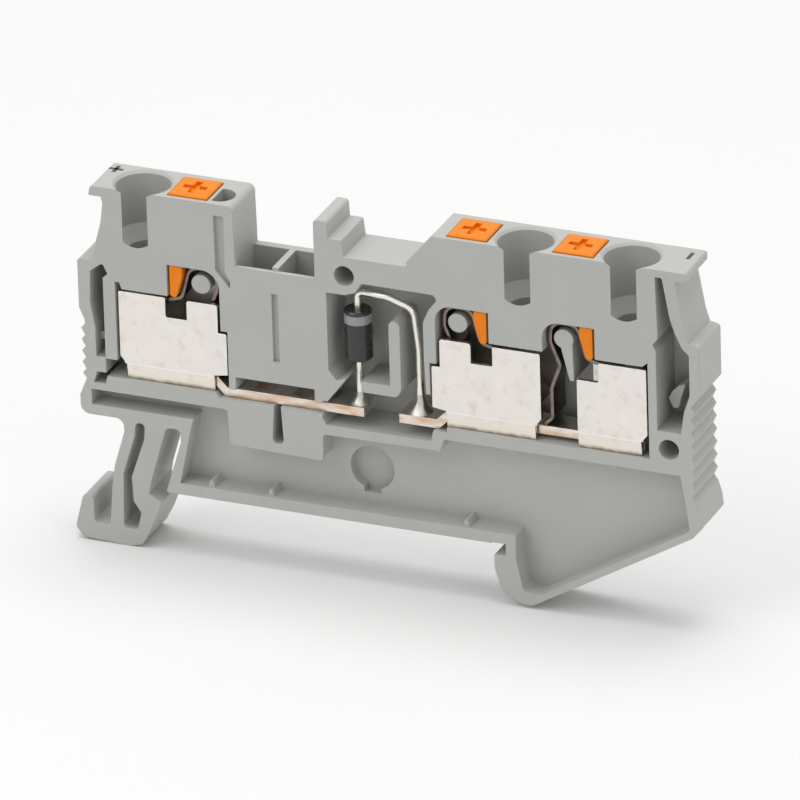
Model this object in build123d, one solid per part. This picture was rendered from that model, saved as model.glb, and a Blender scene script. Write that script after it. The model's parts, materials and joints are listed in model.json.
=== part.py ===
"""A component terminal block with a 35 mm wide snap-on seat, open on one side.

One moulded housing carries three push-in clamps, each a sheet cage, a bent spring and a
release button, two current bars and a diode that joins the bars. X runs along the block,
Z is up, and the origin is the middle of the seat under the block, halfway through the
thickness. Depths are counted from the open side (-Y) towards the closed side (+Y).
"""

import math
import os

from build123d import *

# Overall sizes
block_width = 5.2            # thickness of the block
back_wall = 0.8              # closed side of the housing
front_wall = 0.45            # thin skin over shafts and button channels
top_z = 29.0                 # wire side above the seat
shallow = 2.1                # depth of the lower relief pocket

y_open = -block_width / 2
pocket_depth = block_width - back_wall

# Seat, hook and foot
seat_width = 35.0
seat_edge = 1.0              # thickness that the hook and the foot reach round
seat_play = 0.1
hook_grip = 1.1              # how far the fixed hook reaches under
foot_bottom = -5.9

# Clamps: distances u run from the wire funnel's axis towards the spring
funnel_left = -17.0
funnel_inner = 19.35
clamp_pitch = 10.0
funnel_outer = funnel_inner + clamp_pitch
funnel_radius = 2.5
funnel_depth = 2.2           # axis behind the open side
funnel_floor = 22.7
cone_height = 1.3
wire_hole_radius = 1.5
mouth_chamfer = 0.25

# Release buttons
button_offset = 4.9          # button axis from the funnel axis
button_length = 3.7
button_play = 0.1
button_proud = 0.2
nose_near = button_offset - button_length / 2 + 0.05
nose_far = 4.3
nose_bottom = 19.3
nose_radius = 0.25
button_travel = 1.5
channel_floor = 22.4

# Sheet metal
sheet = 0.4
cage_front = 0.1             # gap between the open side and the cage
cage_bend = 12.1             # height where the cage's front leans inwards
cage_lean = 0.2
cage_floor = 10.65
cage_top = 19.1
cage_near = -1.9
notch_near = 2.6
notch_far = 4.65
notch_floor = 17.2
cage_shoulder = 7.6
shoulder_z = 16.4
cage_far = 8.4
cage_far_floor = 12.4
bar_thickness = 0.85
bar_step = 0.85
bar_low = cage_floor + sheet - bar_step
bar_depths = (0.45, pocket_depth - 1.1)
bar_inner_depth = 0.8        # a bar is narrower where it runs inside a cage
bar_bend = cage_shoulder - 0.5   # where a bar steps down beside its cage

# Springs
spring_thickness = 0.34
spring_depths = (0.75, pocket_depth - 0.85)
peg_radius = 0.9
peg_z = 20.75
peg_offset = 5.95

# Diode
diode_x = 3.45
diode_depth = 1.6
diode_radius = 1.25
diode_length = 4.8
diode_bottom = 15.4
lead_radius = 0.33
diode_wall = funnel_inner - cage_far - 0.55   # right side of the diode's pocket
lead_far_x = diode_wall - 1.2
lead_crest = 21.85
solder_radii = (0.95, 1.1)
solder_heights = (1.1, 1.7)

# Bridge shaft and marker groove
shaft_left = -7.5
shaft_right = 0.1
shaft_lip = 23.2
shaft_floor = 12.4
divider_x = -3.8
divider_width = 0.6
groove_left = 2.9
groove_right = 8.9
groove_floor = 25.7

# Locating holes on the open side and the pegs that match them
locator_radius = 0.95
locator_play = 0.1
locator_depth = 3.2
locator_length = 1.2
locators = [(2.9, 23.9), (33.3, 11.8)]

# Grip ribs on the two ends
left_rib_pitch = 1.1
left_rib_count = 5
right_rib_pitch = 1.25
right_rib_count = 8
rib_height = 0.35



def y_at(depth):
    """The Y of a depth behind the open side."""
    return y_open + depth


def outline(points):
    """A face in X and Z from corners (x, z) or (x, z, radius), each radius a tangent arc."""
    corners = [(Vector(p[0], 0, p[1]), p[2] if len(p) > 2 else 0.0) for p in points]
    count = len(corners)
    ends = []
    for i, (corner, radius) in enumerate(corners):
        before = (corners[i - 1][0] - corner).normalized()
        after = (corners[(i + 1) % count][0] - corner).normalized()
        if radius <= 0:
            ends.append((corner, corner, None))
            continue
        half = math.radians(before.get_angle(after)) / 2
        reach = radius / math.tan(half)
        middle = (before + after).normalized()
        bulge = corner + middle * (radius / math.sin(half) - radius)
        ends.append((corner + before * reach, corner + after * reach, bulge))
    edges = []
    for i, (start, end, bulge) in enumerate(ends):
        if bulge is not None:
            edges.append(ThreePointArc(start, bulge, end))
        following = ends[(i + 1) % count][0]
        if (following - end).length > 1e-6:
            edges.append(Line(end, following))
    return Face(Wire(edges))


def slab(points, near, far):
    """A prism with that outline, from one depth to another."""
    face = outline(points)
    if face.normal_at().Y < 0:
        face = -face
    return Pos(0, y_at(near), 0) * extrude(face, far - near, dir=(0, 1, 0))


def block(x0, x1, z0, z1, near, far):
    """A plain cuboid between two depths."""
    centre = ((x0 + x1) / 2, y_at((near + far) / 2), (z0 + z1) / 2)
    return Pos(*centre) * Box(abs(x1 - x0), abs(far - near), abs(z1 - z0))


def rod(x, z, radius, near, far):
    """A cylinder across the block."""
    turned = Plane(origin=(x, y_at(near), z), x_dir=(1, 0, 0), z_dir=(0, 1, 0))
    return turned * Cylinder(radius, far - near, align=(Align.CENTER, Align.CENTER, Align.MIN))


def upright(x, depth, radius, low, high):
    """A vertical cylinder."""
    spot = Pos(x, y_at(depth), low)
    return spot * Cylinder(radius, high - low, align=(Align.CENTER, Align.CENTER, Align.MIN))


def ribbed(x_base, x_tip, z_start, pitch, count, upward):
    """Corners of a run of small saw teeth on an end wall."""
    corners = []
    for i in range(count):
        z = z_start + pitch * i if upward else z_start - pitch * i
        step = pitch if upward else -pitch
        corners.append((x_base, z + 0.15 * step))
        corners.append((x_tip, z + 0.55 * step))
    return corners


def silhouette():
    """The housing's outer form, clockwise from the top left lip."""
    seat_end = seat_width / 2 + seat_play
    hook_edge = seat_end - hook_grip
    hook_top = -seat_edge - seat_play / 2
    left_grip = ribbed(-22.2, -22.2 - rib_height, 15.6, left_rib_pitch, left_rib_count, False)
    right_grip = ribbed(35.45, 35.45 + rib_height, 16.4, right_rib_pitch, right_rib_count, False)
    lip = top_z - 0.9
    ramp_foot = funnel_inner - 9.05
    top_left = [(-21.2, top_z, 0.3), (-7.6, top_z, 0.6), (shaft_left, shaft_lip + 0.3)]
    crest = [(shaft_right, shaft_lip + 0.3), (shaft_right, top_z - 0.1, 0.3), (1.35, top_z - 0.1, 0.3),
             (1.45, 27.3), (groove_left - 0.2, 27.3, 0.15), (groove_left, groove_floor),
             (groove_right, groove_floor), (groove_right, groove_floor + 0.5),
             (ramp_foot, 27.8, 0.3), (ramp_foot + 1.0, top_z, 0.3)]
    top_right = [(35.2, top_z, 0.25), (35.2, lip, 0.2), (34.15, lip), (34.95, 23.6), (35.35, 22.3),
                 (36.3, 22.1, 0.3), (36.3, 17.3), *right_grip, (36.15, 5.9), (36.3, 4.6, 0.5),
                 (35.4, 3.5, 0.5)]
    hook = [(19.6, foot_bottom + 0.05, 1.6), (17.2, -4.6, 1.6), (hook_edge, -2.4, 0.5),
            (hook_edge, hook_top, 0.1), (seat_end, hook_top), (seat_end, seat_play),
            (hook_edge - 0.2, seat_play), (hook_edge - 0.2, 0.0)]
    slot_mouth = [(-14.7, 0.0), (-14.85, 0.15), (-13.3, 5.2, 0.5), (-13.35, 6.35, 0.5),
                  (-14.7, 6.35, 0.5), (-16.4, 0.6), (-16.6, -0.45), (-15.4, -1.15, 0.2),
                  (-16.5, -3.9), (-17.4, -5.6, 0.6)]
    foot = [(-18.6, foot_bottom, 0.4), (-23.1, foot_bottom + 0.2, 0.5), (-23.8, -4.7, 0.4),
            (-23.0, -1.5, 0.4), (-22.0, -1.5, 0.4), (-22.0, -4.1, 0.4), (-20.45, -4.1, 0.4),
            (-20.1, 0.0), (-19.8, 1.9), (-18.75, 5.4), (-18.8, 6.6, 0.8)]
    left_end = [(-22.9, 6.6, 0.9), (-22.9, 8.4), (-22.2, 10.1), *left_grip[::-1], (-22.2, 15.8),
                (-22.7, 17.0), (-22.7, 21.75, 0.3), (-21.1, 21.75), (-20.9, 23.4), (-20.3, 25.6),
                (-20.05, 27.5, 0.15),
                (-20.2, lip, 0.1), (-21.4, lip, 0.15)]
    return top_left + crest + top_right + hook + slot_mouth + foot + left_end


def grip_slots():
    """Openings behind the two flexible end walls."""
    left = [(-21.5, 20.7), (-20.3, 21.6, 0.2), (-19.8, 20.6), (-20.3, 20.2), (-20.3, 12.4),
            (-21.2, 12.4), (-21.2, 15.2), (-21.6, 17.6)]
    low_left = [(-21.5, 9.8), (-20.4, 9.8), (-20.1, 10.9), (-21.2, 10.9)]
    right = [(32.3, 28.3), (32.95, 28.3, 0.2), (33.6, 24.6), (34.05, 23.2), (34.7, 21.8),
             (35.35, 21.2), (35.35, 17.3), (34.8, 15.7), (34.45, 13.5), (32.25, 13.5),
             (32.25, 21.2), (31.95, 21.7), (32.45, 22.4)]
    ledge = block(-21.3, -20.2, 13.6, 14.3, 1.2, pocket_depth)
    drop = [(32.6, 15.8), (33.0, 14.9, 0.1), (33.5, 15.0), (33.75, 16.0), (34.2, 17.4, 0.1),
            (33.5, 17.1), (32.9, 16.5)]
    fang = slab(drop, 2.0, pocket_depth)
    cuts = slab(left, -0.5, pocket_depth) + slab(low_left, -0.5, pocket_depth)
    return cuts + slab(right, -0.5, pocket_depth), ledge + fang


def clamp_pockets():
    """Room for the clamps, the bars and the diode, each open to the front."""
    floor = cage_floor - 0.05
    left_near = funnel_left + cage_near - 0.25
    left_far = funnel_left + cage_far + 0.15
    left_step = funnel_left + cage_shoulder + 0.3
    left_nose = funnel_left + nose_near - 0.2
    left = [(left_near, 20.0), (left_near + 0.4, 20.0), (left_near + 0.65, cage_top + 0.25),
            (left_nose, cage_top + 0.25), (left_nose, channel_floor), (left_step, channel_floor, 1.75),
            (left_step, shoulder_z + 0.3), (left_far, shoulder_z + 0.3), (left_far, bar_low - 0.05),
            (left_far - 1.0, bar_low - 0.05), (left_far - 1.3, floor), (-20.3, floor),
            (-20.3, 12.3), (left_near, 12.3)]
    near = funnel_outer - cage_near + 0.2
    inner_nose = funnel_inner - nose_near + 0.25
    outer_nose = funnel_outer - nose_near + 0.25
    inner_step = funnel_inner - cage_shoulder - 0.3
    outer_loop = funnel_outer - cage_shoulder - 0.2
    inner_far = funnel_inner - cage_far - 0.15
    right = [(near, floor), (near, 19.9), (near - 0.5, cage_top + 0.35), (outer_nose, cage_top + 0.35),
             (outer_nose, channel_floor), (outer_loop, channel_floor, 1.6),
             (outer_loop, cage_top + 0.35), (inner_nose, cage_top + 0.35), (inner_nose, channel_floor),
             (inner_step, channel_floor, 1.5), (inner_step, shoulder_z + 0.3),
             (inner_far, shoulder_z + 0.3), (inner_far, 13.6), (diode_wall, 13.6), (diode_wall, floor)]
    diode = [(1.15, 14.5), (1.9, 13.6), (2.85, 13.9), (0.95, 11.4), (0.45, 11.4), (0.45, 9.7),
             (0.8, 9.1), (diode_wall + 0.35, 9.1), (diode_wall + 0.7, floor),
             (diode_wall, floor + 0.01), (diode_wall, 13.9), (diode_wall - 0.1, 16.8),
             (diode_wall - 0.1, 20.6), (diode_wall + 0.5, 21.9), (diode_wall + 1.3, 22.9, 0.3),
             (diode_wall + 0.9, 23.35, 0.2), (4.5, 23.4), (3.9, 22.4), (2.9, 22.05), (1.15, 22.05)]
    slot_depth = bar_depths[1] + 0.3
    bar_slot = block(left_far - 0.5, 1.0, bar_low - 0.05, bar_low + bar_thickness + 0.1, -0.5, slot_depth)
    window = block(shaft_left - 0.3, -0.25, bar_low + bar_thickness, shaft_floor, -0.5, slot_depth)
    bend = block(diode_wall + 0.5, funnel_inner - bar_bend + 0.05, bar_low - 0.05, floor + 0.1,
                 -0.5, slot_depth)
    deep = slab(left, -0.5, pocket_depth) + slab(right, -0.5, pocket_depth)
    return deep + slab(diode, -0.5, pocket_depth) + bar_slot + bend + window


def lower_relief():
    """The wide shallow pocket above the seat and the slots in the foot."""
    relief = [(-21.8, 7.6), (-12.0, 7.6), (-12.25, 6.8), (-13.5, 1.1), (18.6, 1.1, 0.2),
              (18.55, -1.2), (19.2, -4.3, 0.7), (20.6, -4.5, 0.5), (35.1, 4.1, 0.5),
              (34.8, 6.6), (34.3, 9.4), (12.0, 9.4), (11.6, 8.2), (0.45, 8.1, 0.3),
              (0.35, 5.5, 0.4), (-8.6, 5.7, 0.4), (-8.7, 9.1, 0.3), (-21.8, 9.1)]
    foot_slot = [(-17.65, 6.4, 0.4), (-16.75, 6.4, 0.4), (-16.85, 4.9), (-18.2, 1.0), (-18.1, -1.4),
                 (-17.4, -2.4, 0.3), (-17.8, -4.2, 0.4), (-19.15, -4.1, 0.4), (-19.0, 1.2),
                 (-17.8, 5.0)]
    flex = [(-4.2, bar_low), (-3.55, bar_low), (-3.35, 6.5, 0.45), (-4.45, 6.5, 0.45)]
    disc_x, disc_z, disc_radius = 4.2, 4.5, 2.1
    disc = rod(disc_x, disc_z, disc_radius, 0, 3.1)
    key = block(disc_x - 0.85, disc_x + 0.75, disc_z - disc_radius - 0.35, disc_z, 0, 3.1)
    cuts = slab(relief, -0.5, shallow) + slab(foot_slot, -0.5, block_width + 0.5)
    cuts += slab(flex, -0.5, pocket_depth)
    ribs = []
    for x in (-10.6, -4.9, 13.8):
        ribs.append(slab([(x - 0.35, 1.0), (x + 0.35, 1.0), (x + 0.15, 1.7), (x - 0.15, 1.7)], 0.3, shallow))
    for x in (18.3, 28.0):
        ribs.append(slab([(x - 0.4, 9.5), (x + 0.4, 9.5), (x + 0.2, 9.0), (x - 0.2, 9.0)], 0.3, shallow))
    return cuts + disc + key, ribs


def funnel(x):
    """The round wire funnel, its cone and the hole into the clamp."""
    bore = upright(x, funnel_depth, funnel_radius, funnel_floor + cone_height, top_z + 1)
    cone = Pos(x, y_at(funnel_depth), funnel_floor) * Cone(
        wire_hole_radius, funnel_radius, cone_height, align=(Align.CENTER, Align.CENTER, Align.MIN))
    hole = upright(x, funnel_depth, wire_hole_radius, cage_top, funnel_floor + 0.1)
    mouth = Pos(x, y_at(funnel_depth), top_z - mouth_chamfer) * Cone(
        funnel_radius, funnel_radius + 2 * mouth_chamfer, 2 * mouth_chamfer,
        align=(Align.CENTER, Align.CENTER, Align.MIN))
    return bore + cone + hole + mouth


def button_channel(funnel_x, side):
    """The rectangular well a release button slides in."""
    half = button_length / 2 + button_play
    x = funnel_x + side * button_offset
    return block(x - half, x + half, channel_floor - 0.01, top_z + 1, front_wall, pocket_depth)


def bridge_shaft():
    """The double shaft for plug-in bridges, open at the top, with its divider left out."""
    shaft = block(shaft_left, shaft_right, shaft_floor - 1.4, top_z + 1, front_wall, pocket_depth)
    mouth = block(shaft_left, shaft_right, shaft_lip, top_z + 1, -0.5, front_wall + 0.1)
    half = divider_width / 2
    divider = block(divider_x - half, divider_x + half, shaft_floor, shaft_lip + 1.0,
                    front_wall - 0.05, pocket_depth)
    recess = block(divider_x - half, divider_x + half, 14.5, 21.1, -0.5, front_wall - 0.1)
    return shaft + mouth - divider, recess


def test_slot():
    """The D-shaped test opening beside the left button and its groove on the open side."""
    x = funnel_left + button_offset + button_length / 2 + 0.75
    round_part = upright(x, 2.0, 1.35, 21.4, top_z + 1)
    keep = block(x - 0.35, x + 2, 20, top_z + 2, 0.6, pocket_depth)
    groove = [(-9.45, 27.9), (-8.5, 27.9), (-8.5, 22.6), (-8.0, 21.6), (-8.05, 21.0), (-9.4, 22.6)]
    return (round_part & keep) + slab(groove, -0.5, 0.45)


def housing():
    """The moulded housing, with its foot, hook and pegs in one piece."""
    body = slab(silhouette(), 0, block_width)
    slots, slot_fill = grip_slots()
    relief, ribs = lower_relief()
    shaft, recess = bridge_shaft()
    body -= slots
    body -= clamp_pockets()
    body -= relief
    body -= shaft + recess
    body -= test_slot()
    for x, side in clamp_places:
        body -= funnel(x) + button_channel(x, side)
    body += slot_fill
    for rib in ribs:
        body += rib
    for x, side in clamp_places:
        body += rod(x + side * peg_offset, peg_z, peg_radius, 0.5, pocket_depth + 0.1)
    tail = funnel_outer - peg_offset
    hold = [(tail - 0.5, peg_z), (tail + 0.8, peg_z), (tail + 0.9, 16.8, 0.1), (tail + 0.5, 16.8, 0.1)]
    body += slab(hold, 0.5, pocket_depth + 0.1)
    rib = diode_wall - 2.5
    hook_rib = [(4.1, 13.7), (4.1, 12.65, 0.2), (rib - 0.4, 12.65, 0.5), (rib, 13.4), (rib, 20.0, 0.5),
                (rib - 1.05, 20.0, 0.5), (rib - 1.05, 13.7)]
    body += slab(hook_rib, 0.35, pocket_depth + 0.1)
    for x, z in locators:
        body -= rod(x, z, locator_radius, -0.5, locator_depth)
        body += rod(x, z, locator_radius - locator_play, block_width - 0.1, block_width + locator_length)
    return body


def clamp_outline(short, notched=True):
    """The cage's side sheet as (u, z) corners; the outermost clamp has a shorter one."""
    far = [(cage_shoulder, cage_top, 0.25), (cage_shoulder, shoulder_z), (cage_far, shoulder_z, 0.15),
           (cage_far, cage_far_floor), (bar_bend, cage_far_floor - 0.2), (bar_bend, cage_floor)]
    if short:
        far = [(notch_far, cage_top, 0.15), (notch_far, cage_floor)]
    near = [(cage_near + 0.7, cage_floor, 0.2), (cage_near + 0.4, 12.3), (cage_near, 12.8),
            (cage_near, cage_top, 0.15)]
    notch = [(notch_near, cage_top, 0.15), (notch_near, notch_floor, 0.2)]
    if short:
        return near + (notch + [(notch_far, notch_floor, 0.1), (notch_far, cage_floor)] if notched else far)
    if not notched:
        return near + far
    return near + notch + [(notch_far, notch_floor), (notch_far, cage_top, 0.25)] + far


def placed(corners, funnel_x, side):
    """Corners given as distances from a funnel, in block coordinates."""
    return [(funnel_x + side * c[0], *c[1:]) for c in corners]


def leaning_strip(x0, x1):
    """The lower part of a cage's front, which leans inwards to meet the floor."""
    low = cage_front + cage_lean
    corners = [(cage_front, cage_bend), (cage_front + sheet, cage_bend),
               (low + sheet, cage_floor), (low, cage_floor)]
    face = Face(Wire.make_polygon([(min(x0, x1), y_at(d), z) for d, z in corners]))
    return extrude(face, abs(x1 - x0), dir=(1, 0, 0))


def cage(funnel_x, side, short=False):
    """A folded sheet: front, leaning strip, floor and back."""
    corners = placed(clamp_outline(short), funnel_x, side)
    front = slab(corners, cage_front, cage_front + sheet)
    front -= block(funnel_x - 10, funnel_x + 10, cage_floor - 1, cage_bend, -1, 1)
    back_near = pocket_depth - 0.05 - sheet
    back = slab(placed(clamp_outline(short, notched=False), funnel_x, side), back_near, back_near + sheet)
    far = notch_far if short else bar_bend
    start, end = funnel_x + side * (cage_near + 0.6), funnel_x + side * far
    floor = block(start, end, cage_floor, cage_floor + sheet, cage_front + cage_lean + 0.1, back_near + 0.1)
    return front + leaning_strip(start, end) + back + floor


def spring(funnel_x, side):
    """A strip bent round the peg, with a clamping leg and a bearing leg."""
    corners = [(-1.3, 13.7), (2.4, 18.6), (3.95, 19.0), (4.75, 22.1), (7.25, 22.1), (7.35, 20.2),
               (6.45, 18.0), (7.3, 15.7), (7.3, 12.8), (8.0, 12.1)]
    radii = [0.8, 0.7, 1.15, 1.05, 0.6, 0.5, 0.5, 0.5]
    points = [Vector(funnel_x + side * u, y_at(sum(spring_depths) / 2), z) for u, z in corners]
    path = FilletPolyline(*points, radius=radii)
    section = Plane(origin=path @ 0, x_dir=(0, 1, 0), z_dir=path % 0)
    width = spring_depths[1] - spring_depths[0]
    return sweep(section * Rectangle(width, spring_thickness), path=path)


def button(funnel_x, side):
    """A release button: head, shoulder and the nose that presses the spring."""
    x = funnel_x + side * button_offset
    half = button_length / 2
    near = front_wall + button_play
    far = pocket_depth - button_play
    base = channel_floor + button_travel + 0.1
    head = block(x - half, x + half, base, top_z + button_proud, near, far)
    head = chamfer(head.edges().group_by(Axis.Z)[-1], 0.12)
    lower = [(nose_near, nose_bottom, nose_radius), (nose_far - 0.6, nose_bottom, nose_radius),
             (nose_far, nose_bottom + 2.1)]
    stem = [(nose_near, base + 0.5), *lower, (nose_far, base + 0.5)]
    tip = [(nose_near, channel_floor - 0.1), *lower, (nose_far, channel_floor - 0.1)]
    nose = slab(placed(stem, funnel_x, side), near, spring_depths[1])
    front = slab(placed(tip, funnel_x, side), cage_front + 0.05, near + 0.1)
    middle = (near + far) / 2
    cross = block(x - 1.1, x + 1.1, top_z - 0.15, top_z + 1, middle - 0.3, middle + 0.3)
    cross += block(x - 0.3, x + 0.3, top_z - 0.15, top_z + 1, near + 0.7, far - 0.7)
    return head + nose + front - cross


def bar_left():
    """The left current bar: under the clamp, stepped down, then past the bridge shaft."""
    low = cage_floor + sheet
    start = funnel_left + cage_near + 0.6
    step = funnel_left + bar_bend
    end = diode_x + 0.8
    inside = block(start, step + 0.1, low, low + bar_thickness, bar_inner_depth, bar_depths[1])
    corners = [(step + 0.05, low), (step + bar_step, bar_low), (end, bar_low),
               (end, bar_low + bar_thickness), (step + bar_step + 0.25, bar_low + bar_thickness),
               (step + 0.25, low + bar_thickness), (step + 0.05, low + bar_thickness)]
    bar = slab(corners, *bar_depths) + inside
    middle = sum(bar_depths) / 2
    for x in ((shaft_left + divider_x) / 2, (divider_x + shaft_right) / 2):
        bar -= block(x - 1.0, x + 1.0, bar_low - 1, low + 2, middle - 0.8, middle + 0.8)
    return bar


def bar_right():
    """The right current bar: from the diode, stepped up, then through both clamps."""
    low = cage_floor + sheet
    end = funnel_outer - cage_near - 0.6
    step = funnel_inner - bar_bend
    tab = lead_far_x - 1.6
    inside = block(step - 0.1, end, low, low + bar_thickness, bar_inner_depth, bar_depths[1])
    corners = [(step - 0.05, low), (step - bar_step, bar_low), (tab, bar_low),
               (tab, bar_low + bar_thickness), (step - bar_step - 0.25, bar_low + bar_thickness),
               (step - 0.25, low + bar_thickness), (step - 0.05, low + bar_thickness)]
    return slab(corners, *bar_depths) + inside


def diode_body():
    """The moulded body of the diode."""
    body = upright(diode_x, diode_depth, diode_radius, diode_bottom, diode_bottom + diode_length)
    return chamfer(body.edges(), 0.15)


def lead(points, radii):
    """A round wire along tangent arcs."""
    spots = [Vector(x, y_at(diode_depth), z) for x, z in points]
    path = FilletPolyline(*spots, radius=radii) if radii else Line(*spots)
    section = Plane(origin=path @ 0, z_dir=path % 0)
    return sweep(section * Circle(lead_radius), path=path)


def leads():
    """The two wires, from the diode down to the bars."""
    bar_top = bar_low + bar_thickness
    lower = lead([(diode_x, diode_bottom), (diode_x, bar_top)], None)
    crown = diode_bottom + diode_length
    halfway = (diode_x + lead_far_x) / 2
    bends = [(diode_x, lead_crest), (halfway, lead_crest - 0.1), (lead_far_x - 0.45, 20.9), (lead_far_x, 17.0)]
    upper = lead([(diode_x, crown), *bends, (lead_far_x, bar_top)], [0.6, 2.5, 1.2, 3.0])
    return lower, upper


def solder(x, wire, radius, height):
    """A cone of solder round a wire's foot."""
    spot = Pos(x, y_at(diode_depth), bar_low + bar_thickness)
    cone = spot * Cone(radius, lead_radius + 0.08, height, align=(Align.CENTER, Align.CENTER, Align.MIN))
    return cone - wire


clamp_places = [(funnel_left, 1), (funnel_inner, -1), (funnel_outer, -1)]


def build():
    """Every piece by its node name."""
    names = ("left", "inner", "outer")
    pieces = {"housing": housing(), "current_bar_left": bar_left(), "current_bar_right": bar_right()}
    for name, (x, side) in zip(names, clamp_places):
        pieces[f"cage_{name}"] = cage(x, side, short=name == "outer")
        pieces[f"spring_{name}"] = spring(x, side)
        pieces[f"button_{name}"] = button(x, side)
    lower, upper = leads()
    pieces["diode_body"] = diode_body()
    pieces["diode_lead_lower"] = lower
    pieces["diode_lead_upper"] = upper
    pieces["solder_left"] = solder(diode_x, lower, solder_radii[0], solder_heights[0])
    pieces["solder_right"] = solder(lead_far_x, upper, solder_radii[1], solder_heights[1])
    return pieces


if __name__ == "__main__":
    os.makedirs("parts", exist_ok=True)
    for name, piece in build().items():
        export_step(piece, f"parts/{name}.step")
        print(name, len(piece.solids()), round(piece.volume, 2))
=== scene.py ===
import json
import math

import bmesh
import bpy
from mathutils import Matrix, Vector


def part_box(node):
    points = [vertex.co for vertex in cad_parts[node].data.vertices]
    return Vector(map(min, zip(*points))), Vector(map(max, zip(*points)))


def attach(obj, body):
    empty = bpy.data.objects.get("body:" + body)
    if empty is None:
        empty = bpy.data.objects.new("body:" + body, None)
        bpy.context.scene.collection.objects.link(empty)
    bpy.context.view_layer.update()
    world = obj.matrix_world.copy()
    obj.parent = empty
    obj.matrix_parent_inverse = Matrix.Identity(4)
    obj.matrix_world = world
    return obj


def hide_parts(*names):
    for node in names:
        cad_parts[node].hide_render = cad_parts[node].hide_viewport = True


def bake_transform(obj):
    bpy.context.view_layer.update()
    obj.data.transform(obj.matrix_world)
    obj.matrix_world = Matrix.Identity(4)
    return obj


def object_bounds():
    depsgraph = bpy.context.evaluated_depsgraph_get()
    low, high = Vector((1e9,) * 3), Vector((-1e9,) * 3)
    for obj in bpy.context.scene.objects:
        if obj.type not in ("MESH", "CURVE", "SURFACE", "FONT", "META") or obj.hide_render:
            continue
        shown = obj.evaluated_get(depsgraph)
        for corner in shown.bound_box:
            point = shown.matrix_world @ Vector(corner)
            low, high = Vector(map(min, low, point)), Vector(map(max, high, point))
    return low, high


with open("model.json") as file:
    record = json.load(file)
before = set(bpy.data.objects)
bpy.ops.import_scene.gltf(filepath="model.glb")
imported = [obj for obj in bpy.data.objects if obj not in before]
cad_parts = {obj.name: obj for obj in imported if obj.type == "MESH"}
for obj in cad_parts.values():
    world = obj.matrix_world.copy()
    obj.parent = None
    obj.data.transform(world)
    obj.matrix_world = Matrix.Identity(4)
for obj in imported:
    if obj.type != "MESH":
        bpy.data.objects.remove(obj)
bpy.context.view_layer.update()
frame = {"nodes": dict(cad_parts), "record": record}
mm = 0.001
print("frame loaded with", len(frame["nodes"]), "nodes")


# small helpers for node trees

edgeSamples = 6        # rays that round an edge in a material


def addNode(tree, kind, place, inputs=None, **settings):
    node = tree.nodes.new(kind)
    node.location = place
    for name, value in settings.items():
        setattr(node, name, value)
    for name, value in (inputs or {}).items():
        node.inputs[name].default_value = value
    return node


def startMaterial(name, colour, roughness, metallic=0.0):
    material = bpy.data.materials.new(name)
    material.use_nodes = True
    material.diffuse_color = (*colour, 1.0)
    tree = material.node_tree
    shader = tree.nodes["Principled BSDF"]
    shader.inputs["Base Color"].default_value = (*colour, 1.0)
    shader.inputs["Roughness"].default_value = roughness
    shader.inputs["Metallic"].default_value = metallic
    return material, tree, shader


def objectNoise(tree, place, size, detail=3.0, stretch=(1, 1, 1)):
    spot = addNode(tree, "ShaderNodeTexCoord", (place[0] - 400, place[1]))
    mapping = addNode(tree, "ShaderNodeMapping", (place[0] - 200, place[1]), {"Scale": stretch})
    noise = addNode(tree, "ShaderNodeTexNoise", place, {"Scale": 1.0 / size, "Detail": detail})
    tree.links.new(spot.outputs["Object"], mapping.inputs["Vector"])
    tree.links.new(mapping.outputs["Vector"], noise.inputs["Vector"])
    return noise


def varyColour(tree, shader, noise, dark, light):
    ramp = addNode(tree, "ShaderNodeMix", (-300, 300), data_type="RGBA")
    ramp.inputs["A"].default_value = (*dark, 1.0)
    ramp.inputs["B"].default_value = (*light, 1.0)
    tree.links.new(noise.outputs["Fac"], ramp.inputs["Factor"])
    tree.links.new(ramp.outputs["Result"], shader.inputs["Base Color"])


def varyRoughness(tree, shader, noise, low, high):
    spread = addNode(tree, "ShaderNodeMapRange", (-300, 0), {"To Min": low, "To Max": high})
    tree.links.new(noise.outputs["Fac"], spread.inputs["Value"])
    tree.links.new(spread.outputs["Result"], shader.inputs["Roughness"])


def roundedBump(tree, shader, noise, strength, depth, edge=0.0):
    bump = addNode(tree, "ShaderNodeBump", (-300, -300), {"Strength": strength, "Distance": depth})
    tree.links.new(noise.outputs["Fac"], bump.inputs["Height"])
    if edge:
        bevel = addNode(tree, "ShaderNodeBevel", (-500, -500), {"Radius": edge}, samples=edgeSamples)
        tree.links.new(bevel.outputs["Normal"], bump.inputs["Normal"])
    tree.links.new(bump.outputs["Normal"], shader.inputs["Normal"])


def rangeOf(tree, place, value, limits):
    start, end, most = limits
    spread = addNode(tree, "ShaderNodeMapRange", place, {"From Min": start, "From Max": end, "To Max": most})
    tree.links.new(value, spread.inputs["Value"])
    return spread.outputs["Result"]


def heightOf(tree, place):
    spot = addNode(tree, "ShaderNodeTexCoord", place)
    parts = addNode(tree, "ShaderNodeSeparateXYZ", (place[0] + 200, place[1]))
    tree.links.new(spot.outputs["Object"], parts.inputs["Vector"])
    return parts.outputs["Z"]


def nearHeight(tree, place, height, middle, half):
    near = addNode(tree, "ShaderNodeMath", place, operation="COMPARE")
    near.inputs[1].default_value = middle
    near.inputs[2].default_value = half
    tree.links.new(height, near.inputs[0])
    return near.outputs[0]


def productOf(tree, place, first, second):
    product = addNode(tree, "ShaderNodeMath", place, operation="MULTIPLY")
    tree.links.new(first, product.inputs[0])
    tree.links.new(second, product.inputs[1])
    return product.outputs[0]


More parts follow.
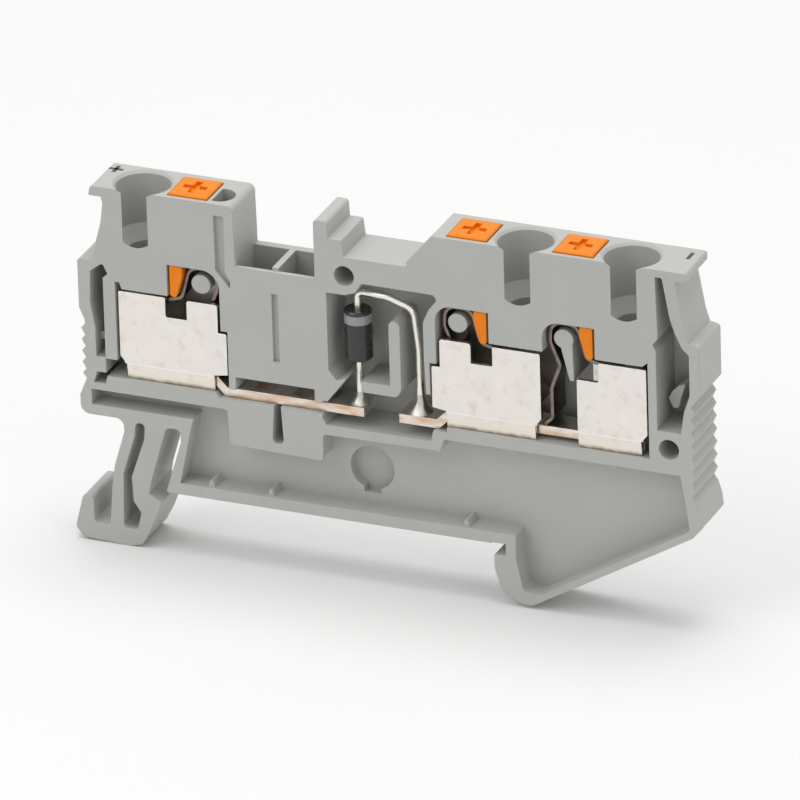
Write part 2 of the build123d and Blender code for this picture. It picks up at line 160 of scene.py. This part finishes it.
def coverColour(tree, shader, amount, colour):
    below = shader.inputs["Base Color"].links[0].from_socket
    spot = below.node.location
    mix = addNode(tree, "ShaderNodeMix", (spot.x + 180, spot.y + 60), data_type="RGBA")
    mix.inputs["B"].default_value = (*colour, 1.0)
    tree.links.new(amount, mix.inputs["Factor"])
    tree.links.new(below, mix.inputs["A"])
    tree.links.new(mix.outputs["Result"], shader.inputs["Base Color"])


def shade(colour, factor):
    return tuple(min(1.0, part * factor) for part in colour)


# moulded plastics: a faint cloud in the colour, fine grain, and edges that the mould rounds

housingPlastic = {"colour": (0.44, 0.447, 0.424), "spread": 0.035, "cloud": 4 * mm, "grain": 0.09 * mm,
                  "roughness": 0.5, "edge": 0.09 * mm, "gloss": 0.45}
buttonPlastic = {"colour": (0.84, 0.222, 0.004), "spread": 0.05, "cloud": 1.5 * mm, "grain": 0.07 * mm,
                 "roughness": 0.42, "edge": 0.1 * mm, "gloss": 0.22}
mouldGrain = {"strength": 0.35, "depth": 0.006 * mm, "roughnessSwing": 0.06}


def mouldedPlastic(name, settings):
    colour, spread, roughness = settings["colour"], settings["spread"], settings["roughness"]
    swing = mouldGrain["roughnessSwing"]
    material, tree, shader = startMaterial(name, colour, roughness)
    cloud = objectNoise(tree, (-700, 300), settings["cloud"])
    grain = objectNoise(tree, (-700, -200), settings["grain"], detail=2.0)
    varyColour(tree, shader, cloud, shade(colour, 1 - spread), shade(colour, 1 + spread))
    varyRoughness(tree, shader, cloud, roughness - swing, roughness + swing)
    roundedBump(tree, shader, grain, mouldGrain["strength"], mouldGrain["depth"], settings["edge"])
    shader.inputs["Specular IOR Level"].default_value = settings["gloss"]
    return material


# metals: smudges in the colour, fine lines from rolling or drawing, eased edges

rolledSheet = (0.12, 1, 1)        # the rolling lines run along the block
tinPlate = {"colour": (0.81, 0.775, 0.725), "spread": 0.09, "roughness": 0.34, "smudge": 1.6 * mm,
            "rolling": 0.25 * mm, "stretch": rolledSheet, "bump": 0.15, "edge": 0.06 * mm}
barPlate = dict(tinPlate, spread=0.10, roughness=0.30)
springSteel = {"colour": (0.115, 0.093, 0.077), "spread": 0.2, "roughness": 0.34, "smudge": 1.2 * mm,
               "rolling": 0.12 * mm, "stretch": rolledSheet, "bump": 0.15, "edge": 0.04 * mm}
tinnedWire = {"colour": (0.85, 0.82, 0.75), "spread": 0.10, "roughness": 0.26, "smudge": 0.9 * mm,
              "rolling": 0.3 * mm, "stretch": (1, 1, 0.2), "bump": 0.15, "edge": 0.0}
solderTin = {"colour": (0.62, 0.60, 0.55), "spread": 0.4, "roughness": 0.42, "smudge": 0.35 * mm,
             "rolling": 0.25 * mm, "stretch": (1, 1, 1), "bump": 0.7, "edge": 0.0}
metalSurface = {"depth": 0.004 * mm, "smoother": 0.08, "rougher": 0.10}


def rolledMetal(name, settings):
    colour, spread, roughness = settings["colour"], settings["spread"], settings["roughness"]
    smoothest, roughest = roughness - metalSurface["smoother"], roughness + metalSurface["rougher"]
    material, tree, shader = startMaterial(name, colour, roughness, metallic=1.0)
    smudge = objectNoise(tree, (-700, 300), settings["smudge"], detail=4.0)
    rolling = objectNoise(tree, (-700, -200), settings["rolling"], stretch=settings["stretch"])
    varyColour(tree, shader, smudge, shade(colour, 1 - spread), shade(colour, 1 + spread / 2))
    varyRoughness(tree, shader, smudge, smoothest, roughest)
    roundedBump(tree, shader, rolling, settings["bump"], metalSurface["depth"], settings["edge"])
    return material


# bare metal shows in patches where a sheet or strip was cut: a range is start, end and strongest cover

sheetEdge = {"colour": (0.40, 0.275, 0.185), "facing": 0.5, "patch": 0.5 * mm, "range": (0.35, 0.6, 0.8)}
springEdge = {"colour": (0.25, 0.205, 0.178), "facing": 0.7, "patch": 0.6 * mm, "range": (0.25, 0.5, 0.9)}
copperEdge = {"colour": (0.64, 0.40, 0.24), "facing": 0.6, "patch": 0.7 * mm, "range": (0.34, 0.64, 0.9)}
cutGrain = (0.35, 1, 1)


def bareEdges(tree, shader, settings, side):
    facing = addNode(tree, "ShaderNodeTexCoord", (-500, 1700))
    parts = addNode(tree, "ShaderNodeSeparateXYZ", (-300, 1700))
    across = addNode(tree, "ShaderNodeMath", (-150, 1700), operation="ABSOLUTE")
    cut = addNode(tree, "ShaderNodeMath", (0, 1700), operation=side)
    cut.inputs[1].default_value = settings["facing"]
    patch = objectNoise(tree, (-500, 1500), settings["patch"], detail=5.0, stretch=cutGrain)
    bare = rangeOf(tree, (-300, 1500), patch.outputs["Fac"], settings["range"])
    tree.links.new(facing.outputs["Normal"], parts.inputs["Vector"])
    tree.links.new(parts.outputs["Y"], across.inputs[0])
    tree.links.new(across.outputs[0], cut.inputs[0])
    coverColour(tree, shader, productOf(tree, (150, 1600), cut.outputs[0], bare), settings["colour"])


# the cages' sheet: stains all over, a painted highlight along the bend, and under the bend a creamier strip
# with a tarnished foot

tinStain = {"colour": (0.52, 0.44, 0.35), "size": 0.9 * mm, "range": (0.54, 0.78, 0.42)}
# the colour at the bend height is a painted highlight: a lighter line where the lower strip bends back
bendStrip = {"bendHeight": 12.1 * mm, "bendHalf": 0.08 * mm, "paintedBendHighlight": (0.85, 0.82, 0.77),
             "cream": (0.83, 0.765, 0.64), "creamRange": (12.1 * mm, 11.3 * mm, 0.45),
             "tarnish": (0.40, 0.28, 0.19), "footRange": (11.1 * mm, 10.65 * mm, 1.0),
             "tarnishRange": (0.38, 0.6, 0.8)}


def stainedTinWithBendHighlight():
    material = rolledMetal("tinPlate", tinPlate)
    tree = material.node_tree
    shader = tree.nodes["Principled BSDF"]
    stain = objectNoise(tree, (-900, 900), tinStain["size"], detail=6.0).outputs["Fac"]
    height = heightOf(tree, (-900, 1300))
    blotch = rangeOf(tree, (-300, 900), stain, tinStain["range"])
    cream = rangeOf(tree, (-300, 1500), height, bendStrip["creamRange"])
    # a thin band at the bend height, which carries the painted highlight
    bend = nearHeight(tree, (-300, 1100), height, bendStrip["bendHeight"], bendStrip["bendHalf"])
    foot = rangeOf(tree, (-500, 1300), height, bendStrip["footRange"])
    patch = rangeOf(tree, (-500, 700), stain, bendStrip["tarnishRange"])
    coverColour(tree, shader, blotch, tinStain["colour"])
    coverColour(tree, shader, cream, bendStrip["cream"])
    # painted highlight: a lighter line along the bend
    coverColour(tree, shader, bend, bendStrip["paintedBendHighlight"])
    coverColour(tree, shader, productOf(tree, (-100, 1300), foot, patch), bendStrip["tarnish"])
    bareEdges(tree, shader, sheetEdge, "LESS_THAN")
    return material


def cutMetal(name, settings, edge):
    material = rolledMetal(name, settings)
    tree = material.node_tree
    bareEdges(tree, tree.nodes["Principled BSDF"], edge, "GREATER_THAN")
    return material


# the diode's black body with its silver band near the top

diodeEpoxy = {"colour": (0.026, 0.026, 0.025), "darker": 0.8, "lighter": 1.25, "roughness": (0.2, 0.32),
              "speckle": 0.35 * mm, "bump": 0.1, "depth": 0.004 * mm,
              "band": (0.27, 0.28, 0.29), "bandTop": 0.35 * mm, "bandHeight": 0.85 * mm}


def bandedEpoxy():
    colour, half = diodeEpoxy["colour"], diodeEpoxy["bandHeight"] / 2
    dark, light = shade(colour, diodeEpoxy["darker"]), shade(colour, diodeEpoxy["lighter"])
    smoothest, roughest = diodeEpoxy["roughness"]
    material, tree, shader = startMaterial("diodeEpoxy", colour, roughest)
    speckle = objectNoise(tree, (-900, 300), diodeEpoxy["speckle"])
    varyColour(tree, shader, speckle, dark, light)
    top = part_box("diode_body")[1].z - diodeEpoxy["bandTop"]
    inBand = nearHeight(tree, (-500, 600), heightOf(tree, (-900, 600)), top - half, half)
    coverColour(tree, shader, inBand, diodeEpoxy["band"])
    varyRoughness(tree, shader, speckle, smoothest, roughest)
    roundedBump(tree, shader, speckle, diodeEpoxy["bump"], diodeEpoxy["depth"])
    return material


markInk = {"colour": (0.03, 0.03, 0.032), "darker": 0.7, "lighter": 2.2, "roughness": 0.55, "fade": 0.25 * mm}


def printedInk():
    colour = markInk["colour"]
    material, tree, shader = startMaterial("markInk", colour, markInk["roughness"])
    fade = objectNoise(tree, (-700, 300), markInk["fade"])
    varyColour(tree, shader, fade, shade(colour, markInk["darker"]), shade(colour, markInk["lighter"]))
    return material


finishes = {
    "housing": mouldedPlastic("housingPlastic", housingPlastic),
    "button": mouldedPlastic("buttonPlastic", buttonPlastic),
    "tinned_sheet": stainedTinWithBendHighlight(),
    "tinned_copper": cutMetal("tinnedCopper", barPlate, copperEdge),
    "spring_steel": cutMetal("springSteel", springSteel, springEdge),
    "diode": bandedEpoxy(),
    "tinned_wire": rolledMetal("tinnedWire", tinnedWire),
    "solder": rolledMetal("solderTin", solderTin),
}
inkFinish = printedInk()
print("finishes made:", len(finishes) + 1)


def finishFrame():
    for part in frame["record"]["subparts"]:
        node = frame["nodes"][part["node"]]
        node.data.materials.clear()
        node.data.materials.append(finishes[part["material_slot"]])


finishFrame()
print("frame finished")


# shared by the pieces

def addObject(name, data):
    made = bpy.data.objects.new(name, data)
    bpy.context.scene.collection.objects.link(made)
    return made


def smoothMesh(mesh, angle):
    mesh.polygons.foreach_set("use_smooth", [True] * len(mesh.polygons))
    mesh.set_sharp_from_angle(angle=math.radians(angle))


def startTree(name, numbers):
    tree = bpy.data.node_groups.new(name, "GeometryNodeTree")
    tree.interface.new_socket("Geometry", in_out="INPUT", socket_type="NodeSocketGeometry")
    tree.interface.new_socket("Geometry", in_out="OUTPUT", socket_type="NodeSocketGeometry")
    for label, value in numbers.items():
        kind = "NodeSocketInt" if isinstance(value, int) else "NodeSocketFloat"
        tree.interface.new_socket(label, in_out="INPUT", socket_type=kind).default_value = value
    tree.interface.new_socket("Material", in_out="INPUT", socket_type="NodeSocketMaterial")
    return tree, addNode(tree, "NodeGroupInput", (-900, 0))


def endTree(tree, given, last):
    realize = addNode(tree, "GeometryNodeRealizeInstances", (500, 0))
    finish = addNode(tree, "GeometryNodeSetMaterial", (700, 0))
    out = addNode(tree, "NodeGroupOutput", (900, 0))
    tree.links.new(last, realize.inputs["Geometry"])
    tree.links.new(realize.outputs["Geometry"], finish.inputs["Geometry"])
    tree.links.new(given.outputs["Material"], finish.inputs["Material"])
    tree.links.new(finish.outputs["Geometry"], out.inputs["Geometry"])


def bakeTree(name, source, tree, values, material, smoothAngle):
    modifier = source.modifiers.new("shape", "NODES")
    modifier.node_group = tree
    sockets = {item.name: item.identifier for item in tree.interface.items_tree
               if item.item_type == "SOCKET" and item.in_out == "INPUT"}
    for label, value in values.items():
        modifier[sockets[label]] = value
    modifier[sockets["Material"]] = material
    bpy.context.view_layer.update()
    made = source.evaluated_get(bpy.context.evaluated_depsgraph_get())
    mesh = bpy.data.meshes.new_from_object(made)
    bpy.data.objects.remove(source)
    mesh.name = name
    smoothMesh(mesh, smoothAngle)
    return addObject(name, mesh)


# clamp springs: a strip bent round its peg, one for each clamp

springStrip = {
    "numbers": {"Width": 2.8 * mm, "Thickness": 0.34 * mm, "Edge Radius": 0.05 * mm, "Bend Steps": 10},
    # distance from the wire's axis, height above the seat, bend radius
    "corners": [(-1.3, 13.7, 0), (2.4, 18.6, 0.8), (3.95, 19.0, 0.7), (4.75, 22.1, 1.15), (7.25, 22.1, 1.05),
                (7.35, 20.2, 0.6), (6.45, 18.0, 0.5), (7.3, 15.7, 0.5), (7.3, 12.8, 0.5), (8.0, 12.1, 0)],
    "pressStart": 4.9,        # from here the strip begins to follow the button
    "pressEnd": 4.0,          # from here on it follows it wholly
    "smoothAngle": 30,
}
# the wire's axis of each clamp, and the side that its spring stands on
clamps = {"left": (-17.0, 1), "inner": (19.35, -1), "outer": (29.35, -1)}


def stripTree():
    tree, given = startTree("springStrip", springStrip["numbers"])
    bend = addNode(tree, "GeometryNodeFilletCurve", (-650, 200), {"Limit Radius": True}, mode="POLY")
    corner = addNode(tree, "GeometryNodeInputRadius", (-850, 300))
    even = addNode(tree, "GeometryNodeSetCurveRadius", (-450, 200), {"Radius": 1.0})
    upright = addNode(tree, "GeometryNodeSetCurveNormal", (-250, 200), {"Normal": (0, 1, 0)}, mode="FREE")
    section = addNode(tree, "GeometryNodeCurvePrimitiveQuadrilateral", (-450, -150))
    eased = addNode(tree, "GeometryNodeFilletCurve", (-250, -150), {"Count": 2}, mode="POLY")
    sweep = addNode(tree, "GeometryNodeCurveToMesh", (100, 0), {"Fill Caps": True})
    link = tree.links.new
    link(given.outputs["Geometry"], bend.inputs["Curve"])
    link(given.outputs["Bend Steps"], bend.inputs["Count"])
    link(corner.outputs["Radius"], bend.inputs["Radius"])
    link(bend.outputs["Curve"], even.inputs["Curve"])
    link(even.outputs["Curve"], upright.inputs["Curve"])
    link(given.outputs["Width"], section.inputs["Width"])
    link(given.outputs["Thickness"], section.inputs["Height"])
    link(section.outputs["Curve"], eased.inputs["Curve"])
    link(given.outputs["Edge Radius"], eased.inputs["Radius"])
    link(upright.outputs["Curve"], sweep.inputs["Curve"])
    link(eased.outputs["Curve"], sweep.inputs["Profile Curve"])
    endTree(tree, given, sweep.outputs["Mesh"])
    return tree


def springPath(where, depth):
    axis, side = clamps[where]
    curve = bpy.data.curves.new("springPath", "CURVE")
    curve.dimensions = "3D"
    line = curve.splines.new("POLY")
    line.points.add(len(springStrip["corners"]) - 1)
    for point, (out, height, radius) in zip(line.points, springStrip["corners"]):
        point.co = ((axis + side * out) * mm, depth, height * mm, 1.0)
        point.radius = radius * mm
    return addObject("springPath", curve)


def makeSprings():
    tree = stripTree()
    for where, (axis, side) in clamps.items():
        low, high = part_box(f"spring_{where}")
        depth = (low.y + high.y) / 2
        piece = bakeTree(f"clampSpring_{where}", springPath(where, depth), tree, springStrip["numbers"],
                         finishes["spring_steel"], springStrip["smoothAngle"])
        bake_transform(piece)
        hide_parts(f"spring_{where}")


makeSprings()
print("springs bent")


# polarity marks printed on the top, a plus at one end and a minus at the other

polarityMark = {"numbers": {"Length": 1.35 * mm, "Stroke": 0.34 * mm, "Film": 0.02 * mm, "Bars": 2},
                # places along the block and in from its open side
                "plus": {"at": (-20.4, 4.05), "bars": 2, "turn": 0},
                "minus": {"at": (34.2, 3.7), "bars": 1, "turn": 90},
                "sink": 0.004 * mm, "smoothAngle": 30}


def markTree():
    tree, given = startTree("polarityMark", polarityMark["numbers"])
    size = addNode(tree, "ShaderNodeCombineXYZ", (-650, -100))
    bar = addNode(tree, "GeometryNodeMeshCube", (-450, -100))
    spots = addNode(tree, "GeometryNodeMeshLine", (-650, 200), {"Offset": (0, 0, 0)})
    place = addNode(tree, "GeometryNodeInstanceOnPoints", (-200, 100))
    index = addNode(tree, "GeometryNodeInputIndex", (-850, -300))
    turn = addNode(tree, "ShaderNodeMath", (-650, -300), operation="MULTIPLY")
    turn.inputs[1].default_value = math.pi / 2
    around = addNode(tree, "ShaderNodeCombineXYZ", (-450, -300))
    link = tree.links.new
    link(given.outputs["Length"], size.inputs["X"])
    link(given.outputs["Stroke"], size.inputs["Y"])
    link(given.outputs["Film"], size.inputs["Z"])
    link(size.outputs["Vector"], bar.inputs["Size"])
    link(given.outputs["Bars"], spots.inputs["Count"])
    link(index.outputs["Index"], turn.inputs[0])
    link(turn.outputs["Value"], around.inputs["Z"])
    link(spots.outputs["Mesh"], place.inputs["Points"])
    link(bar.outputs["Mesh"], place.inputs["Instance"])
    link(around.outputs["Vector"], place.inputs["Rotation"])
    endTree(tree, given, place.outputs["Instances"])
    return tree


def makeMarks():
    tree = markTree()
    low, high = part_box("housing")
    for name in ("plus", "minus"):
        out, depth = polarityMark[name]["at"]
        carrier = addObject("carrier", bpy.data.meshes.new("carrier"))
        values = dict(polarityMark["numbers"], Bars=polarityMark[name]["bars"])
        piece = bakeTree(f"polarity_{name}", carrier, tree, values, inkFinish, polarityMark["smoothAngle"])
        lift = high.z + polarityMark["numbers"]["Film"] / 2 - polarityMark["sink"]
        turned = Matrix.Rotation(math.radians(polarityMark[name]["turn"]), 4, "Z")
        piece.data.transform(Matrix.Translation((out * mm, low.y + depth * mm, lift)) @ turned)
        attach(piece, "block")


makeMarks()
print("marks printed")


# fine raised rings that the ejector pins of the mould leave on the closed side

pinRing = {"numbers": {"Radius": 0.95 * mm, "Lip": 0.055 * mm, "Ring Steps": 48, "Lip Steps": 8},
           # places along and up the wall
           "places": [(-19.5, 25.0), (-18.5, 13.5), (-8.5, 17.0), (-6.0, 5.0), (3.6, 20.6), (6.5, 9.0),
                      (15.5, 15.0), (17.5, 3.0), (26.5, 25.0), (27.0, 8.5), (22.0, -2.6)],
           "smoothAngle": 80}


def ringTree():
    tree, given = startTree("pinRing", pinRing["numbers"])
    path = addNode(tree, "GeometryNodeCurvePrimitiveCircle", (-650, 250))
    lip = addNode(tree, "GeometryNodeCurvePrimitiveCircle", (-650, 0))
    ring = addNode(tree, "GeometryNodeCurveToMesh", (-400, 100))
    place = addNode(tree, "GeometryNodeInstanceOnPoints", (-100, 100), {"Rotation": (math.pi / 2, 0, 0)})
    link = tree.links.new
    link(given.outputs["Ring Steps"], path.inputs["Resolution"])
    link(given.outputs["Radius"], path.inputs["Radius"])
    link(given.outputs["Lip Steps"], lip.inputs["Resolution"])
    link(given.outputs["Lip"], lip.inputs["Radius"])
    link(path.outputs["Curve"], ring.inputs["Curve"])
    link(lip.outputs["Curve"], ring.inputs["Profile Curve"])
    link(given.outputs["Geometry"], place.inputs["Points"])
    link(ring.outputs["Mesh"], place.inputs["Instance"])
    endTree(tree, given, place.outputs["Instances"])
    return tree


def makeRings():
    wall = -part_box("housing")[0].y        # the open and the closed side lie equally far from the middle
    spots = bpy.data.meshes.new("pinSpots")
    spots.from_pydata([(along * mm, wall, up * mm) for along, up in pinRing["places"]], [], [])
    piece = bakeTree("ejector_rings", addObject("pinSpots", spots), ringTree(), pinRing["numbers"],
                     finishes["housing"], pinRing["smoothAngle"])
    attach(piece, "block")


makeRings()
print("ejector rings set")


# solder: a slightly lumpy drop that climbs its wire, in place of the plain cones

solderDrop = {"wireRadius": 0.33 * mm, "collar": 0.02 * mm, "climb": 2.4, "rings": 16, "segments": 48,
              "lumps": 0.09, "lumpWaves": (3, 4), "crossWaves": (2, -7),        # waves around and up the drop
              "smoothAngle": 50}


def lumpAt(angle, rise):
    around, up = solderDrop["lumpWaves"]
    acrossAround, acrossUp = solderDrop["crossWaves"]
    height = solderDrop["lumps"] * math.sin(math.pi * rise)
    return height * math.sin(around * angle + up * rise) * math.cos(acrossAround * angle + acrossUp * rise)


def makeDrop(node):
    low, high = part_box(node)
    centre = (low + high) / 2
    foot, height = (high.x - low.x) / 2, high.z - low.z
    neck = solderDrop["wireRadius"] + solderDrop["collar"]
    shape = bmesh.new()
    rings = []
    for step in range(solderDrop["rings"] + 1):
        rise = step / solderDrop["rings"]
        flare = neck + (foot - neck) * (1 - rise) ** solderDrop["climb"]
        ring = []
        for turn in range(solderDrop["segments"]):
            angle = 2 * math.pi * turn / solderDrop["segments"]
            radius = flare * (1 + lumpAt(angle, rise))
            along, across = radius * math.cos(angle), radius * math.sin(angle)
            ring.append(shape.verts.new((centre.x + along, centre.y + across, low.z + height * rise)))
        rings.append(ring)
    for lower, upper in zip(rings, rings[1:]):
        for turn in range(solderDrop["segments"]):
            after = (turn + 1) % solderDrop["segments"]
            shape.faces.new((lower[turn], lower[after], upper[after], upper[turn]))
    shape.faces.new(rings[0][::-1])
    shape.faces.new(rings[-1])
    bmesh.ops.recalc_face_normals(shape, faces=shape.faces)
    mesh = bpy.data.meshes.new(f"drop_{node}")
    shape.to_mesh(mesh)
    shape.free()
    smoothMesh(mesh, solderDrop["smoothAngle"])
    mesh.materials.append(finishes["solder"])
    piece = addObject(f"drop_{node}", mesh)
    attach(piece, "block")
    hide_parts(node)


for joint in ("solder_left", "solder_right"):
    makeDrop(joint)
print("solder set")


# studio: pale floor, soft lamps, camera at the photograph's angle

studio = {"floorColour": (0.82, 0.82, 0.817), "floorSize": 3.0, "floorRoughness": 0.9, "floorGloss": 0.1,
          "world": 0.55}
lamps = {"overhead": {"at": (0.02, 0.06, 0.60), "size": 0.45, "watts": 2.0},
         "front": {"at": (-0.34, -0.40, 0.53), "size": 0.5, "watts": 1.3},
         "side": {"at": (0.50, -0.25, 0.25), "size": 0.4, "watts": 0.25}}
lens = {"azimuth": 23.1, "elevation": 25.5, "roll": -1.7, "distance": 1.372, "width": 0.0705,
        "aim": (0.0068, 0.0, 0.0113), "sensor": 36, "near": 0.01, "far": 10}


def makeFloor():
    low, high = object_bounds()
    mesh = bpy.data.meshes.new("floor")
    half = studio["floorSize"] / 2
    mesh.from_pydata([(-half, -half, low.z), (half, -half, low.z), (half, half, low.z), (-half, half, low.z)],
                     [], [(0, 1, 2, 3)])
    material, tree, shader = startMaterial("floorPaper", studio["floorColour"], studio["floorRoughness"])
    shader.inputs["Specular IOR Level"].default_value = studio["floorGloss"]
    mesh.materials.append(material)
    floor = addObject("floor", mesh)


def makeLamps():
    target = Vector(lens["aim"])
    for name, values in lamps.items():
        light = bpy.data.lights.new(name, "AREA")
        light.shape = "DISK"
        light.size = values["size"]
        light.energy = values["watts"]
        lamp = addObject(name, light)
        lamp.location = values["at"]
        lamp.rotation_euler = (target - lamp.location).to_track_quat("-Z", "Y").to_euler()


def makeWorld():        # white to the camera and in reflections, and a softer light on the block
    world = bpy.data.worlds.new("studio")
    world.use_nodes = True
    tree = world.node_tree
    lighting = tree.nodes["Background"]
    lighting.inputs["Color"].default_value = (1, 1, 1, 1)
    lighting.inputs["Strength"].default_value = studio["world"]
    backdrop = addNode(tree, "ShaderNodeBackground", (0, -200), {"Color": (1, 1, 1, 1), "Strength": 1.0})
    ray = addNode(tree, "ShaderNodeLightPath", (-700, 300))
    seen = addNode(tree, "ShaderNodeMath", (-400, 300), operation="MAXIMUM")
    mirrored = addNode(tree, "ShaderNodeMath", (-200, 300), operation="MAXIMUM")
    choice = addNode(tree, "ShaderNodeMixShader", (200, 0))
    tree.links.new(ray.outputs["Is Camera Ray"], seen.inputs[0])
    tree.links.new(ray.outputs["Is Glossy Ray"], seen.inputs[1])
    tree.links.new(seen.outputs[0], mirrored.inputs[0])
    tree.links.new(ray.outputs["Is Transmission Ray"], mirrored.inputs[1])
    tree.links.new(mirrored.outputs[0], choice.inputs[0])
    tree.links.new(lighting.outputs[0], choice.inputs[1])
    tree.links.new(backdrop.outputs[0], choice.inputs[2])
    tree.links.new(choice.outputs[0], tree.nodes["World Output"].inputs["Surface"])
    bpy.context.scene.world = world


def makeCamera():
    turn, tilt = math.radians(lens["azimuth"]), math.radians(lens["elevation"])
    away = Vector((math.sin(turn) * math.cos(tilt), -math.cos(turn) * math.cos(tilt), math.sin(tilt)))
    view = bpy.data.cameras.new("camera")
    view.sensor_width = lens["sensor"]
    view.lens = view.sensor_width * lens["distance"] / lens["width"]
    view.clip_start, view.clip_end = lens["near"], lens["far"]
    camera = addObject("camera", view)
    camera.location = Vector(lens["aim"]) + away * lens["distance"]
    aimed = (-away).to_track_quat("-Z", "Y").to_matrix().to_4x4()
    rolled = aimed @ Matrix.Rotation(math.radians(lens["roll"]), 4, "Z")
    camera.rotation_euler = rolled.to_euler()
    bpy.context.scene.camera = camera


makeFloor()
makeLamps()
makeWorld()
makeCamera()
bpy.context.scene.view_settings.view_transform = "Standard"
print("studio lit")
